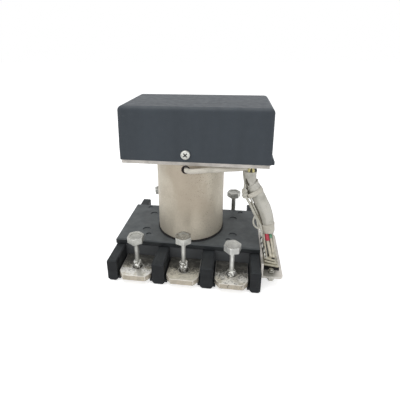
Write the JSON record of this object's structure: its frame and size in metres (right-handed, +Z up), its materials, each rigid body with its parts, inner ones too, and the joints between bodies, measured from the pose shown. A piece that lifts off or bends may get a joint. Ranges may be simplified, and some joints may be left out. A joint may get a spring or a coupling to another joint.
{
  "type": "power contactor",
  "caption": "Three-pole power contactor: solenoid can on a ribbed base with captive terminal bolts, covered control tray above, and a sleeved harness to a side connector.",
  "frame": {"origin": "centre of the base's mounting face", "axes": "+X to the right, towards the connector; +Y to the back; +Z up, out of the mounting face"},
  "size_m": [0.13, 0.1084, 0.1296],
  "materials": {
    "cover_paint": "satin dark slate grey paint",
    "sheet_metal": "satin",
    "nickel_can": "satin nickel plate, speckled",
    "plated_steel": "bright zinc plate",
    "bare_steel": "ground",
    "black_moulding": "satin moulded",
    "tinned_bar": "tinned, stained brown towards the base",
    "brass_part": "satin",
    "copper_part": "satin copper",
    "gold_contact": "bright",
    "seal_rubber": "matte",
    "coil_wire": "varnished",
    "natural_plastic": "satin",
    "brown_plastic": "satin",
    "board_green": "satin",
    "relay_blue": "gloss",
    "red_plastic": "gloss",
    "insulator_black": "satin",
    "clamp_cream": "gloss",
    "sleeve_cloth": "woven, light grey",
    "tie_tape": "woven tape",
    "wire_beige": "satin",
    "wire_marks": "red, green and yellow by place",
    "lace_cord": "waxed cord",
    "lead_sleeve": "woven sleeve"
  },
  "bodies": {
    "frame": {"top_cover": "cover_paint", "cover_screws": "plated_steel", "tray": "sheet_metal", "tray_posts": "plated_steel", "tray_screws": "plated_steel", "tray_grommet": "seal_rubber", "circuit_board": "board_green", "board_spacers": "natural_plastic", "control_relay": "relay_blue", "switch_bracket": "sheet_metal", "micro_switch": "insulator_black", "can": "nickel_can", "can_gasket": "seal_rubber", "can_screws": "plated_steel", "coil_bobbin": "natural_plastic", "coil_winding": "coil_wire", "core": "bare_steel", "flux_plate": "bare_steel", "return_spring": "bare_steel", "contact_block": "black_moulding", "top_plate": "black_moulding", "base_screws": "plated_steel", "connector_bracket": "sheet_metal", "bracket_screws": "plated_steel", "connector_shell": "sheet_metal", "connector_insulator": "insulator_black", "connector_contacts": "gold_contact", "connector_clamp": "clamp_cream", "connector_screws": "plated_steel", "harness_sleeve": "sleeve_cloth", "cable_ties": "tie_tape", "harness_wires": "wire_beige", "marked_wires": "wire_marks", "lacing": "lace_cord", "coil_lead": "lead_sleeve", "line_terminal_1": "tinned_bar", "load_terminal_1": "tinned_bar", "line_terminal_2": "tinned_bar", "load_terminal_2": "tinned_bar", "line_terminal_3": "tinned_bar", "load_terminal_3": "tinned_bar"},
    "armature": {"plunger": "bare_steel", "shaft": "plated_steel", "contact_carrier": "brown_plastic", "bridge_pins": "brass_part", "actuator_disc": "natural_plastic", "contact_spring_1": "bare_steel", "contact_spring_2": "bare_steel", "contact_spring_3": "bare_steel"},
    "bridge_1": {"bridge_1": "copper_part"},
    "bridge_2": {"bridge_2": "copper_part"},
    "bridge_3": {"bridge_3": "copper_part"},
    "switch_lever": {"switch_lever": "plated_steel"},
    "switch_button": {"switch_button": "red_plastic"},
    "line_bolt_1": {"line_bolt_1": "plated_steel"},
    "line_bolt_2": {"line_bolt_2": "plated_steel"},
    "line_bolt_3": {"line_bolt_3": "plated_steel"},
    "load_bolt_1": {"load_bolt_1": "plated_steel"},
    "load_bolt_2": {"load_bolt_2": "plated_steel"},
    "load_bolt_3": {"load_bolt_3": "plated_steel"}
  },
  "joints": [
    {"name": "armature_slide", "type": "slide", "parent": "frame", "child": "armature", "axis": [0, 0, 1], "range_m": [-0.003, 0], "stiffness_N_per_m": 1200, "springref_m": 0.004, "deforming": ["return_spring"]},
    {"name": "bridge_float_1", "type": "slide", "parent": "armature", "child": "bridge_1", "axis": [0, 0, 1], "range_m": [0, 0.00075], "deforming": ["contact_spring_1"]},
    {"name": "bridge_float_2", "type": "slide", "parent": "armature", "child": "bridge_2", "axis": [0, 0, 1], "range_m": [0, 0.00075], "deforming": ["contact_spring_2"]},
    {"name": "bridge_float_3", "type": "slide", "parent": "armature", "child": "bridge_3", "axis": [0, 0, 1], "range_m": [0, 0.00075], "deforming": ["contact_spring_3"]},
    {"name": "lever_hinge", "type": "hinge", "parent": "frame", "child": "switch_lever", "pos_m": [-0.0245, 0, 0.0979], "axis": [0, 1, 0], "range_deg": [0, 8.6]},
    {"name": "button_slide", "type": "slide", "parent": "frame", "child": "switch_button", "axis": [0, 0, 1], "range_m": [-0.0009, 0]},
    {"name": "line_bolt_1_screw", "type": "slide", "parent": "frame", "child": "line_bolt_1", "axis": [0, 0, 1], "range_m": [-0.0224, 0]},
    {"name": "line_bolt_2_screw", "type": "slide", "parent": "frame", "child": "line_bolt_2", "axis": [0, 0, 1], "range_m": [-0.0251, 0]},
    {"name": "line_bolt_3_screw", "type": "slide", "parent": "frame", "child": "line_bolt_3", "axis": [0, 0, 1], "range_m": [-0.0209, 0]},
    {"name": "load_bolt_1_screw", "type": "slide", "parent": "frame", "child": "load_bolt_1", "axis": [0, 0, 1], "range_m": [-0.0224, 0]},
    {"name": "load_bolt_2_screw", "type": "slide", "parent": "frame", "child": "load_bolt_2", "axis": [0, 0, 1], "range_m": [-0.0224, 0]},
    {"name": "load_bolt_3_screw", "type": "slide", "parent": "frame", "child": "load_bolt_3", "axis": [0, 0, 1], "range_m": [-0.0224, 0]}
  ],
  "couplings": [
    {"joint": "bridge_float_1", "follows": "armature_slide", "ratio": -0.25},
    {"joint": "bridge_float_2", "follows": "armature_slide", "ratio": -0.25},
    {"joint": "bridge_float_3", "follows": "armature_slide", "ratio": -0.25},
    {"joint": "lever_hinge", "follows": "armature_slide", "rad_per_m": -49.6},
    {"joint": "button_slide", "follows": "armature_slide", "ratio": 0.28}
  ]
}
